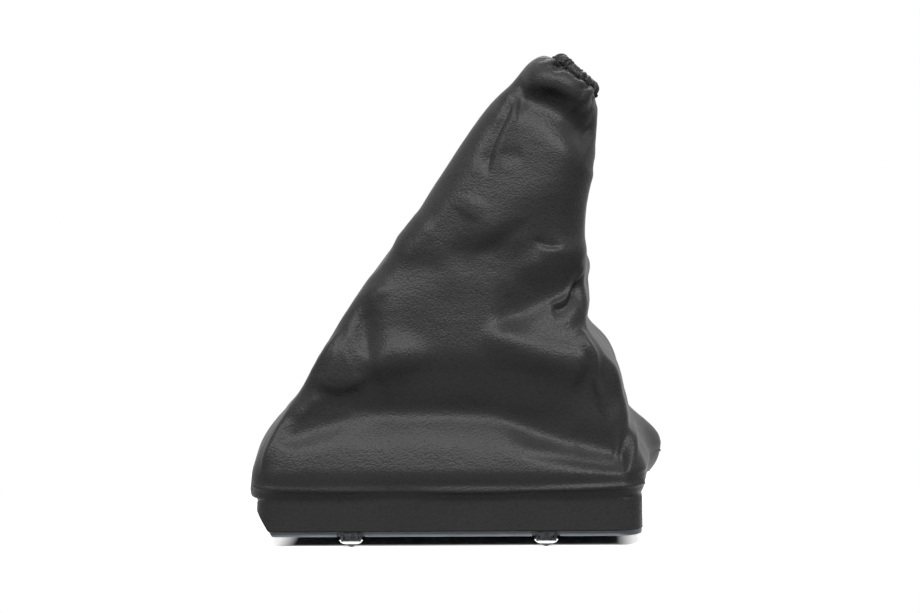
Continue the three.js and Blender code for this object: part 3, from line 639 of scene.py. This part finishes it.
class Nodes:
    """Short calls for building a material's node tree."""

    def __init__(self, name):
        self.material = bpy.data.materials.new(name)
        self.material.use_nodes = True
        self.tree = self.material.node_tree
        self.tree.nodes.clear()
        self.output = self.add("ShaderNodeOutputMaterial")

    def add(self, kind):
        """A new node."""
        return self.tree.nodes.new(kind)

    def link(self, source, target):
        self.tree.links.new(source, target)

    def surface(self, **values):
        shader = self.add("ShaderNodeBsdfPrincipled")
        for key, value in values.items():
            shader.inputs[key.replace("_", " ")].default_value = value
        self.link(shader.outputs[0], self.output.inputs["Surface"])
        return shader

    def places(self, scale=(1, 1, 1)):
        coordinates = self.add("ShaderNodeTexCoord")
        mapping = self.add("ShaderNodeMapping")
        mapping.inputs["Scale"].default_value = scale
        self.link(coordinates.outputs["Object"], mapping.inputs["Vector"])
        return mapping.outputs["Vector"]

    def noise(self, places, scale, detail, roughness=0.5):
        node = self.add("ShaderNodeTexNoise")
        node.inputs["Scale"].default_value = scale
        node.inputs["Detail"].default_value = detail
        node.inputs["Roughness"].default_value = roughness
        self.link(places, node.inputs["Vector"])
        return node.outputs["Fac"]

    def cells(self, places, scale, feature="F1"):
        node = self.add("ShaderNodeTexVoronoi")
        node.feature = feature
        node.inputs["Scale"].default_value = scale
        self.link(places, node.inputs["Vector"])
        return node.outputs["Distance"]

    def ramp(self, factor, *stops):
        node = self.add("ShaderNodeValToRGB")
        elements = node.color_ramp.elements
        while len(elements) < len(stops):
            elements.new(0.5)
        for element, (place, value) in zip(elements, stops):
            element.position = place
            element.color = (*value, 1) if isinstance(value, tuple) else (value, value, value, 1)
        self.link(factor, node.inputs["Fac"])
        return node.outputs["Color"]

    def feed(self, value, socket):
        """Links a socket's value, or sets a plain one."""
        if isinstance(value, bpy.types.NodeSocket):
            self.link(value, socket)
        else:
            socket.default_value = value

    def mix(self, factor, a, b):
        node = self.add("ShaderNodeMix")
        node.data_type = "RGBA"
        self.feed(factor, node.inputs["Factor"])
        self.feed(a, node.inputs[6])
        self.feed(b, node.inputs[7])
        return node.outputs[2]

    def maths(self, operation, a, b):
        node = self.add("ShaderNodeMath")
        node.operation = operation
        self.feed(a, node.inputs[0])
        self.feed(b, node.inputs[1])
        return node.outputs[0]

    def bump(self, height, distance, shader):
        node = self.add("ShaderNodeBump")
        node.inputs["Distance"].default_value = distance
        node.inputs["Strength"].default_value = 1.0
        self.link(height, node.inputs["Height"])
        self.link(node.outputs["Normal"], shader.inputs["Normal"])


# The leather's colours and grain: pebbles that drift off their grid, with pores, and painted shade darkening
# the hollows between them. Scales are in cells to the metre, DRIFT_REACH and GRAIN_DEPTH in metres.
LEATHER_DARK = (0.022, 0.022, 0.0225)
LEATHER_LIGHT = (0.026, 0.026, 0.0265)
# painted shade: the darker colour given to the hollows between the grain's pebbles
GRAIN_VALLEY_SHADE = (0.016, 0.016, 0.0165, 1)
GRAIN_STRETCH = (1, 1, 1.35)
PEBBLE_SCALE = 1150
PORE_SCALE = 5200
PORE_SHARE = 0.22
DRIFT_SCALE = 700
DRIFT_REACH = 0.0006
PATCH_SCALE = 34
GLOSS_SCALE = 60
GRAIN_DEPTH = 0.00014

# The other surfaces: cells to the metre, and the relief's height in metres
BACKING_LOOPS, BACKING_DEPTH = 1500, 0.0002
THREAD_TWISTS, THREAD_DEPTH = 700, 0.0001
BRAID_CELLS, BRAID_DEPTH = 1400, 0.0002
PLASTIC_GRAIN, PLASTIC_DEPTH = 2600, 0.00008
PLASTIC_PATCHES = 90
STEEL_SCUFFS, STEEL_DEPTH = 900, 0.00004


def leather_material():
    """Black imitation leather with a fine pressed grain, and painted shade in the grain's hollows."""
    n = Nodes("cover_leather")
    shader = n.surface(Roughness=0.4, IOR=1.22)
    warped = n.places(GRAIN_STRETCH)
    drift = n.add("ShaderNodeTexNoise")
    drift.inputs["Scale"].default_value = DRIFT_SCALE
    n.link(warped, drift.inputs["Vector"])
    bend = n.add("ShaderNodeVectorMath")
    bend.operation = "MULTIPLY_ADD"
    bend.inputs[1].default_value = (DRIFT_REACH, DRIFT_REACH, DRIFT_REACH)
    n.link(drift.outputs["Color"], bend.inputs[0])
    n.link(warped, bend.inputs[2])
    pebbles = n.cells(bend.outputs[0], PEBBLE_SCALE, "SMOOTH_F1")
    pores = n.noise(warped, PORE_SCALE, 2)
    slow = n.noise(n.places(), PATCH_SCALE, 3)
    height = n.maths("ADD", n.maths("MULTIPLY", pebbles, -1.0), n.maths("MULTIPLY", pores, PORE_SHARE))
    # painted shade: the hollows between the pebbles are darkened in colour
    valley = n.ramp(pebbles, (0.35, 0.0), (0.85, 1.0))
    base = n.ramp(slow, (0.3, LEATHER_DARK), (0.7, LEATHER_LIGHT))
    gloss = n.noise(n.places(), GLOSS_SCALE, 4)
    n.link(n.mix(valley, base, GRAIN_VALLEY_SHADE), shader.inputs["Base Color"])
    n.link(n.ramp(gloss, (0.3, 0.37), (0.7, 0.42)), shader.inputs["Roughness"])
    n.bump(height, GRAIN_DEPTH, shader)
    return n.material


def backing_material():
    """The grey knitted backing on the leather's inside and at its cut edges."""
    n = Nodes("cover_backing")
    shader = n.surface(Roughness=0.9, Specular_IOR_Level=0.2)
    loops = n.cells(n.places((1, 1, 1.6)), BACKING_LOOPS)
    n.link(n.ramp(loops, (0.2, (0.2, 0.2, 0.205)), (0.8, (0.11, 0.11, 0.115))), shader.inputs["Base Color"])
    n.bump(loops, BACKING_DEPTH, shader)
    return n.material


def thread_material():
    """Twisted black sewing thread."""
    n = Nodes("seam_thread_twist")
    shader = n.surface(Roughness=0.7, Specular_IOR_Level=0.3)
    twist = n.add("ShaderNodeTexWave")
    twist.inputs["Scale"].default_value = THREAD_TWISTS
    n.link(n.places(), twist.inputs["Vector"])
    n.link(n.ramp(twist.outputs["Fac"], (0.2, 0.012), (0.8, 0.03)), shader.inputs["Base Color"])
    n.bump(twist.outputs["Fac"], THREAD_DEPTH, shader)
    return n.material


def elastic_material():
    """The black braid of the elastic cord."""
    n = Nodes("elastic_braid")
    shader = n.surface(Roughness=0.8, Specular_IOR_Level=0.2)
    braid = n.cells(n.places(), BRAID_CELLS)
    n.link(n.ramp(braid, (0.2, 0.03), (0.8, 0.01)), shader.inputs["Base Color"])
    n.bump(braid, BRAID_DEPTH, shader)
    return n.material


def plastic_material():
    """Moulded bluish-grey plastic with a fine texture and paler rubbed places."""
    n = Nodes("frame_plastic")
    shader = n.surface(Roughness=0.45, Specular_IOR_Level=0.5)
    grain = n.noise(n.places(), PLASTIC_GRAIN, 2)
    slow = n.noise(n.places((1, 1, 3)), PLASTIC_PATCHES, 4)
    base = n.ramp(slow, (0.3, (0.15, 0.168, 0.19)), (0.72, (0.25, 0.275, 0.305)))
    n.link(base, shader.inputs["Base Color"])
    n.link(n.ramp(slow, (0.3, 0.36), (0.7, 0.52)), shader.inputs["Roughness"])
    n.bump(grain, PLASTIC_DEPTH, shader)
    return n.material


# The clip's painted highlight, a bright steel band along its foot, as shares of the clip's box: how high it
# goes, how high it goes on the curled ends, and how far from the middle those begin
RIM_TOP = (0.2, 0.24)
CURL_TOP = (0.46, 0.5)
CURL_START = (0.4, 0.42)
# painted highlight: the bright steel colour of the band along the clip's foot, which as metal also reflects
# the white surroundings
RIM_HIGHLIGHT = (0.75, 0.76, 0.78, 1)


def steel_material():
    """Blackened spring steel with a painted highlight at its foot: a bright steel band along the rim and
    curled ends.
    """
    n = Nodes("clip_steel")
    shader = n.surface(Metallic=0.85, Roughness=0.35)
    scuffs = n.noise(n.places(), STEEL_SCUFFS, 5, 0.7)
    black = n.ramp(scuffs, (0.42, (0.012, 0.012, 0.013)), (0.75, (0.06, 0.062, 0.066)))
    within = n.add("ShaderNodeTexCoord")
    share = n.add("ShaderNodeSeparateXYZ")
    n.link(within.outputs["Generated"], share.inputs[0])
    from_middle = n.maths("ABSOLUTE", n.maths("SUBTRACT", share.outputs["X"], 0.5), 0)
    low = n.ramp(share.outputs["Z"], (RIM_TOP[0], 1.0), (RIM_TOP[1], 0.0))
    under_curl = n.ramp(share.outputs["Z"], (CURL_TOP[0], 1.0), (CURL_TOP[1], 0.0))
    at_ends = n.ramp(from_middle, (CURL_START[0], 0.0), (CURL_START[1], 1.0))
    # painted highlight: the band along the foot and the curled ends is coloured bright steel
    highlight_band = n.maths("MAXIMUM", low, n.maths("MULTIPLY", under_curl, at_ends))
    n.link(n.mix(highlight_band, black, RIM_HIGHLIGHT), shader.inputs["Base Color"])
    n.link(n.ramp(scuffs, (0.3, 0.42), (0.7, 0.26)), shader.inputs["Roughness"])
    n.bump(scuffs, STEEL_DEPTH, shader)
    return n.material


def dress(obj, *materials):
    obj.data.materials.clear()
    for material in materials:
        obj.data.materials.append(material)


# Light, floor and camera

def shows_white(tree):
    """1 for rays that should meet the plain white background: camera, glossy and transmission rays."""
    path = tree.nodes.new("ShaderNodeLightPath")
    total = None
    for name in ("Is Camera Ray", "Is Glossy Ray", "Is Transmission Ray"):
        if total is None:
            total = path.outputs[name]
            continue
        larger = tree.nodes.new("ShaderNodeMath")
        larger.operation = "MAXIMUM"
        tree.links.new(total, larger.inputs[0])
        tree.links.new(path.outputs[name], larger.inputs[1])
        total = larger.outputs[0]
    return total


WORLD_LIGHT = 0.05


def studio_world():
    """A plain white world, dim for the light that it throws."""
    world = bpy.data.worlds.new("studio")
    bpy.context.scene.world = world
    world.use_nodes = True
    tree = world.node_tree
    tree.nodes.clear()
    output = tree.nodes.new("ShaderNodeOutputWorld")
    seen = tree.nodes.new("ShaderNodeBackground")
    seen.inputs["Strength"].default_value = 1.0
    seen.inputs["Color"].default_value = (1, 1, 1, 1)
    light = tree.nodes.new("ShaderNodeBackground")
    light.inputs["Strength"].default_value = WORLD_LIGHT
    light.inputs["Color"].default_value = (1, 1, 1, 1)
    mix = tree.nodes.new("ShaderNodeMixShader")
    tree.links.new(shows_white(tree), mix.inputs[0])
    tree.links.new(light.outputs[0], mix.inputs[1])
    tree.links.new(seen.outputs[0], mix.inputs[2])
    tree.links.new(mix.outputs[0], output.inputs["Surface"])


# Half sizes of the dark patch under the frame, and where the shadows end in plain white, in metres
UNDER_LENGTH = 0.07
UNDER_WIDTH = 0.044
WHITE_FROM, WHITE_AT = 0.1, 0.22

# The paper's colour, its glow beside the frame, and its colour for the light that it throws back
PAPER = (0.85, 0.85, 0.85, 1)
PAPER_GLOW = 0.8
PAPER_BOUNCE = (0.05, 0.05, 0.05, 1)
FLOOR_HALF = 4.0


def floor_material():
    """White to the camera with the object's shadow on it, and grey for the light that it throws back."""
    n = Nodes("floor_paper")
    tree = n.tree
    shaded = n.add("ShaderNodeBsdfDiffuse")
    shaded.inputs["Color"].default_value = PAPER
    glow = n.add("ShaderNodeEmission")
    beside = n.add("ShaderNodeVectorMath")
    beside.operation = "ABSOLUTE"
    n.link(n.places((1 / UNDER_LENGTH, 1 / UNDER_WIDTH, 1)), beside.inputs[0])
    parts = n.add("ShaderNodeSeparateXYZ")
    n.link(beside.outputs["Vector"], parts.inputs[0])
    outside = n.maths("MAXIMUM", parts.outputs["X"], parts.outputs["Y"])
    n.link(n.ramp(outside, (0.9, 0.0), (1.0, PAPER_GLOW)), glow.inputs["Strength"])
    both = n.add("ShaderNodeAddShader")
    n.link(shaded.outputs[0], both.inputs[0])
    n.link(glow.outputs[0], both.inputs[1])
    white = n.add("ShaderNodeEmission")
    coordinates = n.add("ShaderNodeTexCoord")
    distance = n.add("ShaderNodeVectorMath")
    distance.operation = "LENGTH"
    n.link(coordinates.outputs["Object"], distance.inputs[0])
    away = n.ramp(distance.outputs["Value"], (WHITE_FROM, 0.0), (WHITE_AT, 1.0))
    seen = n.add("ShaderNodeMixShader")
    n.link(away, seen.inputs[0])
    n.link(both.outputs[0], seen.inputs[1])
    n.link(white.outputs[0], seen.inputs[2])
    dark = n.add("ShaderNodeBsdfDiffuse")
    dark.inputs["Color"].default_value = PAPER_BOUNCE
    mix = n.add("ShaderNodeMixShader")
    n.link(shows_white(tree), mix.inputs[0])
    n.link(dark.outputs[0], mix.inputs[1])
    n.link(seen.outputs[0], mix.inputs[2])
    n.link(mix.outputs[0], n.output.inputs["Surface"])
    return n.material


def floor():
    half = FLOOR_HALF
    points = [(-half, -half, 0), (half, -half, 0), (half, half, 0), (-half, half, 0)]
    obj = new_object("floor", points, [(0, 1, 2, 3)])
    dress(obj, floor_material())


# Lamps: name, place, size in metres, power in watts
LAMPS = [
    ("left_key", (-0.45, -0.85, 1.3), (0.5, 0.5), 19),
    ("right_key", (0.4, -0.83, 1.3), (0.5, 0.5), 22),
    ("back", (0.2, 1.4, 1.1), (0.8, 0.6), 6),
]
LAMP_AIM = (0, 0, 0.09)


def area_lamp(name, place, size, power):
    data = bpy.data.lights.new(name, "AREA")
    data.shape = "RECTANGLE"
    data.size, data.size_y = size
    data.energy = power
    obj = bpy.data.objects.new(name, data)
    obj.location = place
    obj.rotation_euler = (Vector(LAMP_AIM) - Vector(place)).to_track_quat("-Z", "Y").to_euler()
    bpy.context.scene.collection.objects.link(obj)


def lamps():
    for lamp in LAMPS:
        area_lamp(*lamp)


# The camera stands as in the photo. Lengths are in millimetres, and the target is in the frame's axes.
CAMERA_AZIMUTH = math.radians(3)
CAMERA_ELEVATION = math.radians(5)
CAMERA_ROLL = math.radians(-0.8)
CAMERA_DISTANCE = 1000.0
CAMERA_TARGET = (3.4, 0.0, 89.9)
LENS = 97.0
SENSOR_WIDTH = 36


def camera():
    turn, lift = CAMERA_AZIMUTH, CAMERA_ELEVATION
    right = Vector((math.cos(turn), math.sin(turn), 0))
    back = Vector((math.sin(turn) * math.cos(lift), -math.cos(turn) * math.cos(lift), math.sin(lift)))
    up = back.cross(right)
    rolled_right = right * math.cos(CAMERA_ROLL) + up * math.sin(CAMERA_ROLL)
    rolled_up = up * math.cos(CAMERA_ROLL) - right * math.sin(CAMERA_ROLL)
    place = Vector(to_row(CAMERA_TARGET)) + back * CAMERA_DISTANCE * MM
    data = bpy.data.cameras.new("camera")
    data.lens = LENS
    data.sensor_width = SENSOR_WIDTH
    data.sensor_fit = "HORIZONTAL"
    data.clip_start = 0.01
    obj = bpy.data.objects.new("camera", data)
    obj.matrix_world = Matrix((rolled_right, rolled_up, back)).transposed().to_4x4()
    obj.location = place
    bpy.context.scene.collection.objects.link(obj)
    bpy.context.scene.camera = obj


# The pieces

def build_cover():
    """Both halves of the cover. Laid flat, each has its seam and hem allowances in its size."""
    leather, backing = leather_material(), backing_material()
    for side, node in HALVES.items():
        obj = cover_half(side)
        dress(obj, leather, backing)
        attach(obj, "root")
        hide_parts(node)


# Points along the cord and round it
CORD_STEPS = 120
CORD_SIDES = 12


def build_elastic():
    """The round cord inside the hem, as a closed ring on the hem's own line."""
    around = np.linspace(0, 2 * math.pi, CORD_STEPS, endpoint=False)
    tube = np.linspace(0, 2 * math.pi, CORD_SIDES, endpoint=False)
    around, tube = np.meshgrid(around, tube, indexing="ij")
    radius = ELASTIC_DIAMETER / 2
    out = HEM_RADIUS + radius * np.cos(tube)
    height = radius * np.sin(tube)
    sine, cosine = math.sin(NECK_TILT), math.cos(NECK_TILT)
    points = np.stack([
        HEM_REACH + out * np.cos(around) * cosine + height * sine,
        out * np.sin(around),
        HEM_HEIGHT - out * np.cos(around) * sine + height * cosine,
    ], axis=-1)
    rows, columns = around.shape
    numbers = np.arange(rows * columns).reshape(rows, columns)
    corners = [numbers, np.roll(numbers, -1, axis=0), np.roll(numbers, (-1, -1), axis=(0, 1)),
               np.roll(numbers, -1, axis=1)]
    faces = np.stack(corners, axis=-1).reshape(-1, 4)
    obj = new_object("elastic_cord", to_row(points.reshape(-1, 3)), faces)
    dress(obj, elastic_material())
    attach(obj, "root")
    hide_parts("neck_elastic")


def dress_nodes():
    """Materials for the pieces that keep their CAD shape."""
    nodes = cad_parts
    thread, steel = thread_material(), steel_material()
    for name in ("seam_thread_front", "seam_thread_rear"):
        dress(nodes[name], thread)
    dress(nodes["frame"], plastic_material())
    for name in CLIPS:
        dress(nodes[name], steel)


camera()
studio_world()
floor()
lamps()
build_cover()
build_elastic()
dress_nodes()
bpy.context.scene.view_settings.view_transform = "Standard"
